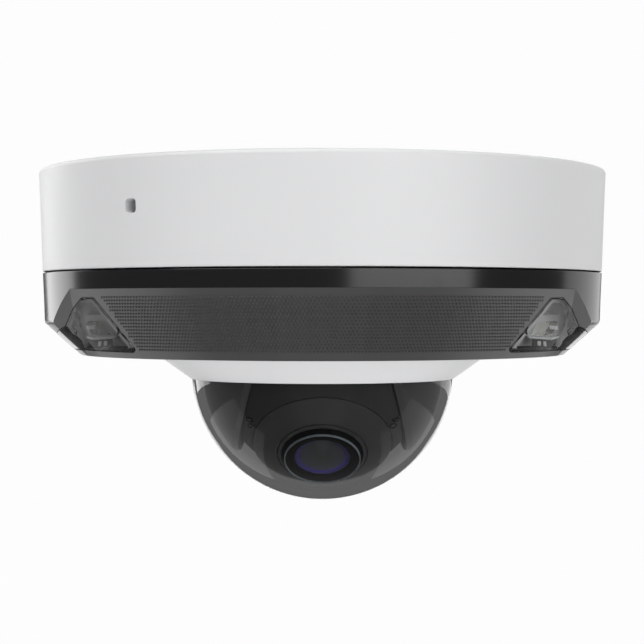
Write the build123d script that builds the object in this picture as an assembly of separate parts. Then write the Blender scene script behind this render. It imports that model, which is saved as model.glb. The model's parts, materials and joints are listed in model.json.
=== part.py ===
"""A fixed dome camera that hangs from a ceiling, with a hand-set eyeball.

Millimetres. The origin is the centre of the ceiling face, +Z points up into the ceiling,
-Y is the front, which the lens looks towards, and +X is to the right seen from the front.
"""
from build123d import *
import math
import os

os.makedirs("parts", exist_ok=True)

# ---------------------------------------------------------------- outer sizes
body_radius = 55.0            # drum at the ceiling
drum_draft = 0.72             # how much the drum's radius shrinks down to the seam
drum_height = 19.6
ceiling_gap = 0.2             # the drum's rim stays this far off the ceiling
seam_gap = 0.3                # between the drum and the cover
cover_height = 15.6           # seam to the flat underside
cover_draft = 0.38
chamfer_height = 6.2          # slanted lower edge of the cover
chamfer_width = 6.9
dome_radius = 25.6            # outside of the clear bubble
dome_drop = 3.0               # bubble's centre below the cover's underside

# ---------------------------------------------------------------- walls and clearances
drum_wall = 2.4
cover_wall = 2.2
dome_wall = 1.6
window_wall = 2.0
collar_wall = 1.3
moving_gap = 0.3              # between parts that move past each other
running_fit = 0.06            # radial clearance of a shaft in its bore
seat_gap = 0.15               # around a window or a trim ring

# ---------------------------------------------------------------- angled front face
face_top_drop = 3.0           # from the seam down to the angled face
facet_normal = (0.302, -0.643, -0.704)
facet_inset = 9.82            # from the cover's waist in to the side facet, along its normal
facet_start_x = 20.0          # the facets lie outside this half width

# ---------------------------------------------------------------- infrared windows
window_top_corners = ((8.6, 3.7), (11.0, 1.7), (13.6, 1.6))      # in from the waist, below the face's top
window_foot_corners = ((21.7, 1.1), (1.9, 1.1), (1.9, 3.9), (4.5, 4.7), (6.6, 5.7))      # above the underside
window_corner_radius = 0.6
window_back_y = -8.0
window_facing = (0.667, -0.56, -0.49)
window_centre_inset = (15.4, 22.4)     # in from the waist, across and along
window_centre_rise = 6.5      # above the underside
tray_depth = 7.0
tray_wall = 1.0
led_board_size = 6.6
led_board_wall = 1.0
led_size = 2.6
led_height = 1.1
led_pitch = 3.1
led_shift = (11.0, -3.7)      # lamp board from the window's centre, along the tray's floor

# ---------------------------------------------------------------- ceiling bracket
plate_inset = 5.88            # from the drum's inside to the plate
plate_wall = 1.6
cable_hole_radius = 14.0
ceiling_screw_circle = 72.0
ceiling_screw_hole_radius = 2.25
ceiling_screw_count = 4
hook_count = 3
hook_angle = 18.0             # width of each bayonet hook, in degrees
hook_wall = 1.4
hook_reach = 3.5
hook_drop = 2.4               # from the ceiling to the top of the hook's foot
hook_start = 30.0             # direction of the first hook, in degrees

# ---------------------------------------------------------------- drum and boards
web_top = -4.6                # the drum's inner floor
web_wall = 1.6
grommet_radius = 9.0
grommet_hole_radius = 3.2
grommet_flange_reach = 1.6
grommet_flange_wall = 1.2
board_inset = 5.38            # from the drum's inside to the board
board_wall = 1.6
board_standoff = 2.0
board_hole_radius = 14.0
board_screw_inset = 3.5       # from the board's edge to its screws
board_screw_angles = (55, 125, 205, 320)
post_radius = 3.2
post_inset = 7.0              # from the board's edge to the chassis posts
post_angles = (30, 150, 270)
screw_radius = 1.5            # M3
screw_head_radius = 2.75
screw_head_height = 1.8
small_screw_radius = 1.0      # M2
small_head_radius = 1.9
small_head_height = 1.3

jack_width = 15.9
jack_depth = 21.3
jack_height = 11.5
jack_mouth_width = 11.8
jack_mouth_height = 8.2
jack_mouth_depth = 14.0
jack_back_gap = 4.58          # from the drum's inside to the jack
jack_top_fit = 0.4
latch_half_width = 2.0
latch_wall = 0.6
latch_stop = 4.0              # the latch slot ends this far before the socket does
jack_sink = 2.0               # how far the jack stands up through the board

chip_size = 14.0
chip_wall = 1.2
processor_y = -27.0
chip_places = ((20, -24, 9, 11), (-21, -23, 10, 10), (-26, 18, 8, 12), (27, 8, 6, 6), (-24, -4, 7, 5))
capacitor_radius = 3.1
capacitor_height = 7.0
capacitor_places = ((17, 31), (24, 26))
inductor_size = (7.0, 7.0, 4.0)
inductor_place = (-17, 32)
sink_size = 14.0
sink_height = 5.0
sink_fin_wall = 1.2
sink_base_wall = 1.5
sink_fins = 5

card_size = (11.0, 15.0, 1.0)
card_slot_wall = 0.5
card_gap = 0.15
card_inset = 8.5              # from the board's edge to the card's middle
card_y = 4.0
card_notch = (2.4, 12.0)
card_stick_out = 2.0

switch_size = 6.0
switch_height = 3.5
button_radius = 1.75
button_height = 2.5
button_stick_out = 1.5
button_gap = 0.1
button_travel = 0.5
switch_inset = 6.5            # from the board's edge to the switch's middle
switch_y = 3.0

mic_angle = -126.75           # direction of the microphone port about +Z
mic_height = -9.05
mic_port_size = 2.4
mic_port_corner = 0.6
mic_radius = 2.0
mic_length = 2.0
boot_size = 5.6
boot_length = 4.2

# ---------------------------------------------------------------- pan bearing
chassis_drop = 0.4            # from the drum's edge down to the chassis
chassis_wall = 2.0
chassis_rim = 3.5             # chassis plate beyond the posts' circle
chassis_hole_radius = 19.0
pan_ring_reach = 5.4          # the yoke ring's radius beyond the bubble's
pan_ring_height = 3.0
pan_ring_lap = 2.55           # how far the ring reaches in over the arms
bearing_wall = 3.4
washer_wall = 0.4
retainer_wall = 1.5
retainer_lip = 2.8
retainer_recess = 0.9         # for the screw heads
chassis_boss_height = 2.0
retainer_screw_angles = (0, 60, 120, 180, 240, 300)

# ---------------------------------------------------------------- eyeball
ear_dome_gap = 0.5            # between the ears and the bubble
ball_ear_gap = 0.45
ball_wall = 1.5
ball_half_width = 14.8
ball_side_wall = 1.1
ball_split = -1.5             # where the front and rear shells meet, along the lens axis
ball_screw_inset = 3.7        # shell screws from the ball's outside
ball_post_radius = 2.4
ball_post_height = 9.0
ball_screw_length = 6.0
ball_cable_radius = 5.0       # cable exit at the back of the ball
lens_down_angle = 46.6        # lens axis below the horizontal, as it hangs
ear_wall = 0.75
ear_disc_inset = 4.0          # the ear's round edge, in from its own radius
ear_disc_rise = 3.5
ear_rise = 8.5                # from the pivot axis up to the ears' top
arm_gap = 0.5
arm_half_depth = 6.5
pin_radius = 2.0
pin_cover = 1.0               # arm left outside the end of the pin
pin_grip = 2.0                # how far the pin reaches in past the arm
pin_washer_radius = 4.5
side_relief_depth = 3.0       # flat cut under each ear, in from the ball's outside
side_relief_slope = 40.3      # its tilt from the vertical, in degrees
side_relief_front = 10.5      # it starts this far in front of the pivot axis

# ---------------------------------------------------------------- lens module
bezel_radius = 12.8
bezel_lip = 0.6
bezel_hole_radius = 7.55
bezel_groove_radius = 8.35
bezel_groove_width = 0.2
bezel_groove_depth = 0.5
bezel_tube_wall = 1.3
bezel_tube_length = 10.0
bezel_tube_back = 1.9         # the tube starts this far behind the lip
bezel_skirt_wall = 1.6
bezel_skirt_height = 4.5
bezel_lip_depth = 3.36        # from the bezel's edge in to the lip
bezel_lip_height = 0.9
roll_ring_height = 0.8
lens_sink = 0.1               # lens ring's front, in from the ball's outside
lens_ring_radius = 7.0
lens_ring_height = 3.0
lens_thread_radius = 6.0
lens_glass_radius = 5.1
lens_glass_sink = 3.2         # flat back of the front glass, in from the lens ring
lens_glass_crown = 1.9
lens_glass_edge = 0.5
lens_bore_wall = 1.6
lens_back = 2.0
inner_glass_back = 6.0
inner_glass_length = 3.6
inner_glass_curve = 7.0
glass_fit = 0.02
lock_ring_height = 2.0
lock_ring_notches = 24
holder_drop = 11.7            # from the lens's front to the holder's end
holder_wall = 2.2
holder_base = 15.0
holder_base_height = 3.4
filter_size = 10.4
filter_height = 2.6
filter_gap = 0.2
filter_window = (6.0, 5.0)
filter_rise = 1.5
sensor_board_size = 17.0
sensor_board_back = -8.0
sensor_size = 9.0
sensor_wall = 1.2
connector_size = (9.0, 3.0, 1.6)
connector_y = -3.0

# ---------------------------------------------------------------- dome mounting
collar_width = 6.9            # the collar's radius beyond the bubble's
collar_drop = 4.8
collar_seat = 1.5             # step from the collar to its neck
dome_flange_reach = 3.5       # the bubble's flange beyond the collar's neck
dome_flange_wall = 1.5
dome_seal_wall = 0.8
clamp_wall = 1.6
clamp_reach = 1.7             # the clamp beyond the bubble's flange
clamp_screw_inset = 1.5
clamp_screw_angles = (45, 135, 225, 315)
clamp_post_radius = 1.7
clamp_post_gap = 0.2
clamp_lug_radius = 2.6

# ---------------------------------------------------------------- cover screws
cover_screw_angles = (90, 185, 355)
cover_screw_inset = 6.5       # from the cover's foot to its screws
cover_screw_rise = 0.25       # screw tip above the chassis
cover_boss_radius = 4.0
head_pocket_depth = 2.4

# ---------------------------------------------------------------- worked out
UP = (Align.CENTER, Align.CENTER, Align.MIN)
DOWN = (Align.CENTER, Align.CENTER, Align.MAX)
FAR = 200.0                   # larger than the whole camera

drum_bottom = -drum_height
drum_bottom_radius = body_radius - drum_draft
drum_inner_radius = drum_bottom_radius - drum_wall
gasket_outer = drum_bottom_radius - drum_wall / 2 + 0.5
gasket_inner = gasket_outer - 1.0
gasket_top = drum_bottom + 0.9
boot_front = math.sqrt(drum_inner_radius ** 2 - (boot_size / 2) ** 2) - 0.05
plate_radius = drum_inner_radius - plate_inset
board_radius = drum_inner_radius - board_inset
board_screw_circle = board_radius - board_screw_inset
post_circle = board_radius - post_inset
jack_mouth_y = drum_inner_radius - jack_back_gap - jack_depth
card_place = (board_radius - card_inset, card_y)
switch_place = (switch_inset - board_radius, switch_y)
cover_top = drum_bottom - seam_gap
cover_bottom = cover_top - cover_height
cover_waist = cover_bottom + chamfer_height
cover_waist_radius = drum_bottom_radius - cover_draft
cover_foot_radius = cover_waist_radius - chamfer_width
face_top = cover_top - face_top_drop
window_centre = (
    cover_waist_radius - window_centre_inset[0],
    window_centre_inset[1] - cover_waist_radius,
    cover_bottom + window_centre_rise,
)
facet_out = math.hypot(facet_normal[0], facet_normal[1])
facet_depth = facet_out * cover_waist_radius + facet_normal[2] * cover_waist - facet_inset
ball_z = cover_bottom - dome_drop
dome_inside = dome_radius - dome_wall
ear_radius = dome_inside - ear_dome_gap
ear_inside = ear_radius - ear_wall
ear_disc_radius = ear_radius - ear_disc_inset
ear_top = ball_z + ear_rise
ball_radius = ear_inside - ball_ear_gap
ball_screw_offset = ball_radius - ball_screw_inset
side_relief = ball_radius - side_relief_depth
inner_half_width = ball_half_width - ball_side_wall
lens_front = ball_radius - lens_sink
bezel_lip_top = math.sqrt(ball_radius ** 2 - bezel_radius ** 2) - bezel_lip_depth
lip_radius = min(bezel_radius + bezel_lip, inner_half_width - moving_gap)
holder_top = lens_front - holder_drop
holder_bottom = sensor_board_back + board_wall
pan_radius = dome_radius + pan_ring_reach
pan_ring_inner = ear_inside - pan_ring_lap
collar_radius = dome_radius + collar_width
collar_neck_radius = collar_radius - collar_seat
dome_flange_radius = collar_neck_radius + dome_flange_reach
clamp_radius = dome_flange_radius + clamp_reach
clamp_screw_circle = clamp_radius - clamp_screw_inset
web_bottom = web_top - web_wall
board_top = web_bottom - board_standoff
board_bottom = board_top - board_wall
chassis_top = drum_bottom - chassis_drop
chassis_radius = post_circle + chassis_rim
chassis_bottom = chassis_top - chassis_wall
chassis_boss_bottom = chassis_bottom - chassis_boss_height
cover_screw_circle = cover_foot_radius - cover_screw_inset
cover_screw_top = chassis_top + cover_screw_rise
pan_ring_top = chassis_bottom - washer_wall - running_fit
pan_ring_bottom = pan_ring_top - pan_ring_height
retainer_top = pan_ring_bottom - moving_gap / 2
retainer_bottom = retainer_top - retainer_wall
bearing_outer = pan_radius + running_fit + bearing_wall
cover_floor = cover_bottom + cover_wall
dome_seal_top = cover_floor + dome_seal_wall
dome_flange_top = dome_seal_top + dome_flange_wall
clamp_top = dome_flange_top + clamp_wall
arm_inner = ball_half_width + arm_gap
pin_start = arm_inner - pin_grip
pin_length = ear_inside - pin_cover - pin_start
lens_plane = Plane(
    origin=(0, 0, ball_z),
    x_dir=(1, 0, 0),
    z_dir=(0, -math.cos(math.radians(lens_down_angle)), -math.sin(math.radians(lens_down_angle))),
)


# ---------------------------------------------------------------- small helpers
def save(shape, node):
    """Write one node's solids."""
    export_step(shape, f"parts/{node}.step")


def disc(radius, top, bottom, x=0.0, y=0.0):
    """Upright cylinder between two heights."""
    return Pos(x, y, bottom) * Cylinder(radius, top - bottom, align=UP)


def ring(outer, inner, top, bottom, x=0.0, y=0.0):
    """Upright tube between two heights."""
    return disc(outer, top, bottom, x, y) - disc(inner, top, bottom, x, y)


def block(low, high):
    """Box from its lowest to its highest corner."""
    size = [high[i] - low[i] for i in range(3)]
    middle = [(high[i] + low[i]) / 2 for i in range(3)]
    return Pos(*middle) * Box(*size)


def turned(points, rounds=None):
    """Body of revolution about Z from (radius, height) corners, with chosen corners rounded."""
    outline = make_face(Polyline(*points, close=True))
    for corner, radius in (rounds or {}).items():
        spot = Vector(*points[corner])
        nearest = outline.vertices().sort_by_distance(spot)[0]
        outline = fillet(nearest, radius)
    return revolve(Plane.XZ * outline, Axis.Z)


def polar(radius, angle):
    """X and Y of a point on a circle about Z, with its angle in degrees."""
    turn = math.radians(angle)
    return radius * math.cos(turn), radius * math.sin(turn)


def sector(outer, inner, top, bottom, middle_angle, width_angle):
    """Part of an upright tube, width_angle degrees wide."""
    outline = make_face(Polyline((inner, bottom), (outer, bottom), (outer, top), (inner, top), close=True))
    solid = revolve(Plane.XZ * outline, Axis.Z, width_angle)
    return Rot(0, 0, middle_angle - width_angle / 2) * solid


def screw(radius, head_radius, head_height, seat, tip, x, y):
    """Pan-head screw that points up, with its head below the seat height, and a cross in the head."""
    shape = disc(radius, tip, seat, x, y) + disc(head_radius, seat, seat - head_height, x, y)
    slot_depth = head_height * 0.5
    slot_width = head_radius * 0.3
    slot_length = head_radius * 1.2
    for size in ((slot_length, slot_width), (slot_width, slot_length)):
        shape -= Pos(x, y, seat - head_height) * Box(*size, slot_depth, align=UP)
    return shape


def group(shapes):
    """Separate solids kept in one node."""
    return Compound(children=list(shapes))


def both_sides(shape):
    """The shape and its mirror image across the YZ plane."""
    return group([shape, mirror(shape, Plane.YZ)])


# ---------------------------------------------------------------- cover's outside
def cover_form(inset=0.0):
    """The cover's outside as a full solid, pulled in by inset on every face but the top."""
    length = math.hypot(chamfer_height, chamfer_width)
    slant_r = chamfer_height / length
    slant_z = -chamfer_width / length
    reach = slant_r * cover_waist_radius + slant_z * cover_waist - inset
    waist_r = cover_waist_radius - inset
    foot_z = cover_bottom + inset
    corners = (
        (0, cover_top),
        (drum_bottom_radius - inset, cover_top),
        (waist_r, (reach - slant_r * waist_r) / slant_z),
        ((reach - slant_z * foot_z) / slant_r, foot_z),
        (0, foot_z),
    )
    rounds = {2: 1.2, 3: 0.9} if inset == 0 else None
    return turned(corners, rounds) - front_cut(inset)


def front_cut(inset):
    """What the angled front face and its two side facets take off the cover."""
    face_drop = face_top - cover_bottom
    face_inset = drum_bottom_radius - cover_foot_radius
    slope = face_inset / face_drop
    back_off = inset * math.hypot(1.0, slope)

    def face_radius(z):
        return drum_bottom_radius + slope * (z - face_top) - back_off

    high = face_top + 1.5
    low = cover_bottom - 1.5
    tool = turned(((face_radius(low), low), (FAR, low), (FAR, high), (face_radius(high), high)))
    tool &= block((-FAR, -FAR, low - 1), (FAR, 0, high + 1))
    for side in (-1, 1):
        normal = Vector(side * facet_normal[0], facet_normal[1], facet_normal[2]).normalized()
        facet = Plane(origin=normal * (facet_depth - inset), z_dir=normal)
        keep = facet * Box(2 * FAR, 2 * FAR, FAR, align=DOWN)
        near_x, far_x = sorted((side * facet_start_x, side * 2 * FAR))
        tool -= keep & block((near_x, -FAR, -FAR), (far_x, FAR, FAR))
    return tool


def window_prism(grow):
    """Right-hand window outline, grown or shrunk, run from the front to behind the window."""
    top = [(cover_waist_radius - inset, face_top - drop) for inset, drop in window_top_corners]
    foot = [(cover_waist_radius - inset, cover_bottom + rise) for inset, rise in window_foot_corners]
    outline = make_face(Polyline(*top, *foot, close=True))
    if grow:
        outline = offset(outline, grow, kind=Kind.INTERSECTION)
    outline = fillet(outline.vertices(), window_corner_radius)
    return extrude(Pos(0, window_back_y + grow, 0) * (Plane.XZ * outline), FAR)


# ---------------------------------------------------------------- ceiling bracket
def make_mounting_plate():
    plate = ring(plate_radius, cable_hole_radius, 0, -plate_wall)
    for i in range(hook_count):
        angle = hook_start + i * 360 / hook_count
        low = -hook_drop - hook_wall
        leg = sector(plate_radius, plate_radius - plate_wall, -plate_wall, low, angle, hook_angle)
        reach = plate_radius + hook_reach
        foot = sector(reach, plate_radius - plate_wall, -hook_drop, low, angle, hook_angle)
        plate += leg + foot
    for i in range(ceiling_screw_count):
        x, y = polar(ceiling_screw_circle / 2, 45 + i * 360 / ceiling_screw_count)
        plate -= disc(ceiling_screw_hole_radius, 0, -plate_wall, x, y)
    return plate


# ---------------------------------------------------------------- drum housing
def make_drum_housing():
    outer = (
        (0, -ceiling_gap),
        (body_radius, -ceiling_gap),
        (drum_bottom_radius, drum_bottom),
        (0, drum_bottom),
    )
    drum = turned(outer, {1: 0.8, 2: 0.25})
    drum -= disc(drum_inner_radius, 0, web_top)
    drum -= disc(drum_inner_radius, web_bottom, drum_bottom)
    drum -= disc(grommet_radius, web_top, web_bottom)
    for i in range(hook_count):
        angle = hook_start + i * 360 / hook_count
        ledge_inner = plate_radius + 2 * moving_gap
        ledge_bottom = moving_gap - hook_drop
        drum += sector(drum_inner_radius + 0.5, ledge_inner, -2 * moving_gap, ledge_bottom, angle, hook_angle)
    for angle in post_angles:
        x, y = polar(post_circle, angle)
        drum += disc(post_radius, web_bottom, chassis_top, x, y)
        drum -= disc(screw_radius, chassis_top + 7, chassis_top, x, y)
    for angle in board_screw_angles:
        x, y = polar(board_screw_circle, angle)
        drum += disc(small_head_radius + 0.6, web_bottom, board_top, x, y)
        drum -= disc(small_screw_radius, web_bottom, board_top, x, y)
    drum -= ring(gasket_outer, gasket_inner, gasket_top, drum_bottom)
    port = make_face(RectangleRounded(mic_port_size, mic_port_size, mic_port_corner).wire())
    port = extrude(port, 3 * drum_wall, both=True)
    drum -= mic_plane(drum_bottom_radius) * port
    return drum


def mic_plane(radius):
    """Plane across the microphone port's axis, facing outwards."""
    x, y = polar(radius, mic_angle)
    outward = Vector(x, y, 0).normalized()
    return Plane(origin=(x, y, mic_height), x_dir=(-outward.Y, outward.X, 0), z_dir=outward)


def make_mic_boot():
    boot = Box(boot_size, boot_size, boot_length, align=DOWN)
    boot = fillet(boot.edges().filter_by(Axis.Z), 0.8)
    boot -= Box(mic_port_size, mic_port_size, boot_length, align=DOWN)
    boot -= Pos(0, 0, -boot_length) * Cylinder(mic_radius, mic_length + 0.4, align=UP)
    return mic_plane(boot_front) * boot


def make_microphone():
    return mic_plane(boot_front - boot_length) * Cylinder(mic_radius, mic_length, align=UP)


def make_grommet():
    """Rubber cable entry: two flanges with a waist in the drum's inner floor."""
    flange = grommet_radius + grommet_flange_reach
    low = web_bottom - grommet_flange_wall
    high = web_top + grommet_flange_wall
    profile = (
        (grommet_hole_radius, low),
        (flange, low),
        (flange, web_bottom),
        (grommet_radius, web_bottom),
        (grommet_radius, web_top),
        (flange, web_top),
        (flange - 1.0, high),
        (grommet_hole_radius, high),
    )
    return turned(profile)


# ---------------------------------------------------------------- electronics in the drum
def make_main_board():
    board = ring(board_radius, board_hole_radius, board_top, board_bottom)
    for angle in post_angles:
        x, y = polar(post_circle, angle)
        board -= disc(post_radius + 0.4, board_top, board_bottom, x, y)
    for angle in board_screw_angles:
        x, y = polar(board_screw_circle, angle)
        board -= disc(small_screw_radius + 0.1, board_top, board_bottom, x, y)
    half = jack_width / 2 + 0.2
    board -= block((-half, 0, board_bottom - 1), (half, FAR, board_top + 1))
    mx, my = polar(board_radius, mic_angle)
    board -= disc(boot_size, board_top, board_bottom, mx, my)
    return board


def make_board_screws():
    screws = []
    for angle in board_screw_angles:
        x, y = polar(board_screw_circle, angle)
        size = (small_screw_radius, small_head_radius, small_head_height)
        screws.append(screw(*size, board_bottom, web_bottom, x, y))
    return group(screws)


def make_network_jack():
    top = board_top + jack_sink - jack_top_fit
    bottom = top - jack_height
    half = jack_width / 2
    jack = block((-half, jack_mouth_y, bottom), (half, jack_mouth_y + jack_depth, top))
    middle = (top + bottom) / 2
    mouth_half = jack_mouth_width / 2
    jack -= block(
        (-mouth_half, jack_mouth_y, middle - jack_mouth_height / 2),
        (mouth_half, jack_mouth_y + jack_mouth_depth, middle + jack_mouth_height / 2),
    )
    jack -= block(
        (-latch_half_width, jack_mouth_y, bottom + latch_wall),
        (latch_half_width, jack_mouth_y + jack_mouth_depth - latch_stop, middle),
    )
    return jack


def make_processor():
    return Pos(0, processor_y, board_bottom) * Box(chip_size, chip_size, chip_wall, align=DOWN)


def make_heat_sink():
    top = board_bottom - chip_wall
    sink = Pos(0, processor_y, top) * Box(sink_size, sink_size, sink_height, align=DOWN)
    gap = (sink_size - sink_fins * sink_fin_wall) / (sink_fins - 1)
    for i in range(sink_fins - 1):
        x = -sink_size / 2 + sink_fin_wall + gap / 2 + i * (gap + sink_fin_wall)
        sink -= Pos(x, processor_y, top - sink_base_wall) * Box(gap, sink_size, sink_height, align=DOWN)
    return sink


def make_board_chips():
    chips = [Pos(x, y, board_bottom) * Box(w, d, chip_wall, align=DOWN) for x, y, w, d in chip_places]
    return group(chips)


def make_power_parts():
    """Two electrolytic capacitors and a square inductor."""
    parts = []
    for x, y in capacitor_places:
        can = disc(capacitor_radius, board_bottom, board_bottom - capacitor_height, x, y)
        parts.append(chamfer(can.edges().group_by(Axis.Z)[0], 0.4))
    parts.append(Pos(*inductor_place, board_bottom) * Box(*inductor_size, align=DOWN))
    return group(parts)


def make_card_slot():
    w, d, h = card_size
    x, y = card_place
    outer = Box(w + 2 * (card_gap + card_slot_wall), d, h + 2 * (card_gap + card_slot_wall), align=DOWN)
    inner = Pos(0, -card_slot_wall - 2, -card_slot_wall) * Box(
        w + 2 * card_gap, d + 4 - card_slot_wall, h + 2 * card_gap, align=DOWN
    )
    return Pos(x, y, board_bottom) * (outer - inner)


def make_card():
    w, d, h = card_size
    x, y = card_place
    card = Box(w, d, h, align=DOWN)
    card -= Pos(w / 2, -d / 2, 0) * Box(*card_notch, h, align=DOWN)
    return Pos(x, y - card_stick_out, board_bottom - card_slot_wall - card_gap) * card


def make_reset_switch():
    x, y = switch_place
    shape = Pos(x, y, board_bottom) * Box(switch_size, switch_size, switch_height, align=DOWN)
    depth = button_height - button_stick_out + button_travel + button_gap
    bottom = board_bottom - switch_height
    return shape - disc(button_radius + button_gap, bottom + depth, bottom, x, y)


def make_reset_button():
    x, y = switch_place
    low = board_bottom - switch_height - button_stick_out
    button = disc(button_radius, low + button_height, low, x, y)
    return fillet(button.edges().group_by(Axis.Z)[0], 0.3)


# ---------------------------------------------------------------- chassis and pan bearing
def make_chassis():
    frame = ring(chassis_radius, chassis_hole_radius, chassis_top, chassis_bottom)
    frame += ring(bearing_outer, pan_radius + running_fit, chassis_bottom, retainer_top)
    for angle in cover_screw_angles:
        x, y = polar(cover_screw_circle, angle)
        frame += disc(cover_boss_radius, chassis_bottom, chassis_boss_bottom, x, y)
    for angle in cover_screw_angles:
        x, y = polar(cover_screw_circle, angle)
        frame -= disc(screw_radius + 0.1, chassis_top, chassis_boss_bottom, x, y)
    for angle in post_angles:
        x, y = polar(post_circle, angle)
        frame -= disc(screw_radius + 0.1, chassis_top, chassis_bottom, x, y)
    for angle in retainer_screw_angles:
        x, y = polar(bearing_outer - bearing_wall / 2, angle)
        frame -= disc(small_screw_radius, chassis_bottom - 1, retainer_top, x, y)
    return frame


def make_chassis_screws():
    screws = []
    for angle in post_angles:
        x, y = polar(post_circle, angle)
        size = (screw_radius, screw_head_radius, screw_head_height)
        screws.append(screw(*size, chassis_bottom, chassis_top + 6, x, y))
    return group(screws)


def make_friction_washer():
    """Thin spring washer between the chassis and the yoke ring."""
    return ring(pan_radius - 1, pan_radius - 7, chassis_bottom, chassis_bottom - washer_wall)


def make_retainer():
    retainer = ring(bearing_outer, pan_radius - retainer_lip, retainer_top, retainer_bottom)
    for angle in retainer_screw_angles:
        x, y = polar(bearing_outer - bearing_wall / 2, angle)
        retainer -= disc(small_screw_radius + 0.05, retainer_top, retainer_bottom, x, y)
        retainer -= disc(small_head_radius, retainer_bottom + retainer_recess, retainer_bottom, x, y)
    return retainer


def make_retainer_screws():
    screws = []
    for angle in retainer_screw_angles:
        x, y = polar(bearing_outer - bearing_wall / 2, angle)
        seat = retainer_bottom + retainer_recess
        size = (small_screw_radius, small_head_radius - 0.05, retainer_recess)
        screws.append(screw(*size, seat, retainer_top + 2.4, x, y))
    return group(screws)


# ---------------------------------------------------------------- yoke
def ball_space(radius):
    """Room inside the ears: a ball, and an upright cylinder above the ears' top."""
    return Pos(0, 0, ball_z) * Sphere(radius) + disc(radius, 0, ear_top)


def make_yoke():
    yoke = ring(pan_radius, pan_ring_inner, pan_ring_top, pan_ring_bottom)
    low = ball_z - arm_half_depth
    for side in (-1, 1):
        near_x, far_x = sorted((side * arm_inner, side * ear_inside))
        arm = block((near_x, -arm_half_depth, ball_z), (far_x, arm_half_depth, pan_ring_top))
        eye = Pos(0, 0, ball_z) * Rot(0, 90, 0) * Cylinder(arm_half_depth, 2 * ear_inside)
        eye &= block((near_x, -FAR, low - 1), (far_x, FAR, ball_z + arm_half_depth))
        yoke += (arm + eye) & ball_space(ear_inside)
    pin_hole = Pos(0, 0, ball_z) * Rot(0, 90, 0) * Cylinder(pin_radius, 2 * (pin_start + pin_length))
    return yoke - pin_hole


def ear_form():
    """Where an ear may be: inside an upright disc across X that stands above the ball's centre."""
    wide = Pos(0, 0, ball_z + ear_disc_rise) * Rot(0, 90, 0) * Cylinder(ear_disc_radius, 2 * FAR)
    return wide & block((0, -FAR, -FAR), (FAR, FAR, ear_top))


def make_right_ear():
    shell = Pos(0, 0, ball_z) * (Sphere(ear_radius) - Sphere(ear_inside))
    return shell & ear_form()


def make_pins():
    pin = Pos(pin_start, 0, ball_z) * Rot(0, 90, 0) * Cylinder(pin_radius, pin_length, align=UP)
    return both_sides(pin)


def make_pin_washers():
    plane = Pos(ball_half_width + seat_gap, 0, ball_z) * Rot(0, 90, 0)
    thickness = arm_gap - seat_gap
    washer = Cylinder(pin_washer_radius, thickness, align=UP) - Cylinder(pin_radius, thickness, align=UP)
    return both_sides(plane * washer)


# ---------------------------------------------------------------- eyeball
def ball_shell():
    """Hollow ball with flat sides, a front opening, pin holes and a flat relief under each ear."""
    outer = Sphere(ball_radius) & Box(2 * ball_half_width, FAR, FAR)
    inner = Sphere(ball_radius - ball_wall) & Box(2 * inner_half_width, FAR, FAR)
    shell = Pos(0, 0, ball_z) * (outer - inner)
    shell -= lens_plane * Cylinder(bezel_radius + seat_gap, FAR, align=UP)
    shell -= Pos(0, 0, ball_z) * Rot(0, 90, 0) * Cylinder(pin_radius + running_fit, FAR)
    for side in (-1, 1):
        tilt = Rot(0, side * (90 + side_relief_slope), 0)
        relief = tilt * (Pos(0, 0, side_relief) * Box(FAR, FAR, FAR, align=UP))
        relief &= block((-FAR, -side_relief_front, -FAR), (FAR, FAR, 0))
        shell -= Pos(0, 0, ball_z) * relief
    return shell


def front_half():
    """Everything on the lens side of the shells' seam."""
    return lens_plane * (Pos(0, 0, ball_split) * Box(FAR, FAR, FAR, align=UP))


def make_ball_screws():
    """Two screws that pull the shells together from behind."""
    screws = []
    for side in (-1, 1):
        stem = Pos(0, side * ball_screw_offset, ball_split) * Cylinder(small_screw_radius, ball_screw_length)
        screws.append(lens_plane * stem)
    return group(screws)


def ball_cable_exit():
    return lens_plane * Cylinder(ball_cable_radius, FAR, align=DOWN)


def screw_posts():
    """Posts inside the shells for the shell screws."""
    posts = Part()
    for side in (-1, 1):
        post = Pos(0, side * ball_screw_offset, ball_split) * Cylinder(ball_post_radius, ball_post_height)
        posts += lens_plane * post
    return posts & (Pos(0, 0, ball_z) * Sphere(ball_radius - 0.2))


def make_roll_ring():
    """Rubber ring on the bezel's lip that holds the lens module's turn by friction."""
    outer = lip_radius - 0.05
    tube = Cylinder(outer, roll_ring_height, align=UP) - Cylinder(bezel_radius, roll_ring_height, align=UP)
    return lens_plane * (Pos(0, 0, bezel_lip_top) * tube)


# ---------------------------------------------------------------- lens module
def make_bezel():
    """Round front of the eyeball with a stepped hole for the lens."""
    shell = (Sphere(ball_radius) - Sphere(ball_radius - ball_wall)) & Cylinder(bezel_radius, FAR, align=UP)
    skirt_bore = Cylinder(bezel_radius - bezel_skirt_wall, bezel_skirt_height, align=UP)
    skirt = Cylinder(bezel_radius, bezel_skirt_height, align=UP) - skirt_bore
    lip = Cylinder(lip_radius, bezel_lip_height, align=UP) - skirt_bore
    skirt = Pos(0, 0, bezel_lip_top - bezel_lip_height) * skirt
    lip = Pos(0, 0, bezel_lip_top - bezel_lip_height) * lip
    tube_outer = bezel_hole_radius + bezel_tube_wall
    tube = Pos(0, 0, bezel_lip_top - bezel_tube_back) * Cylinder(tube_outer, bezel_tube_length, align=UP)
    solid = shell + ((skirt + tube) & Sphere(ball_radius)) + lip
    solid -= Cylinder(bezel_hole_radius, FAR, align=UP)
    groove_floor = math.sqrt(ball_radius ** 2 - bezel_groove_radius ** 2) - bezel_groove_depth
    groove = Cylinder(bezel_groove_radius, FAR, align=UP)
    groove -= Cylinder(bezel_groove_radius - bezel_groove_width, FAR, align=UP)
    return lens_plane * (solid - Pos(0, 0, groove_floor) * groove)


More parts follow.
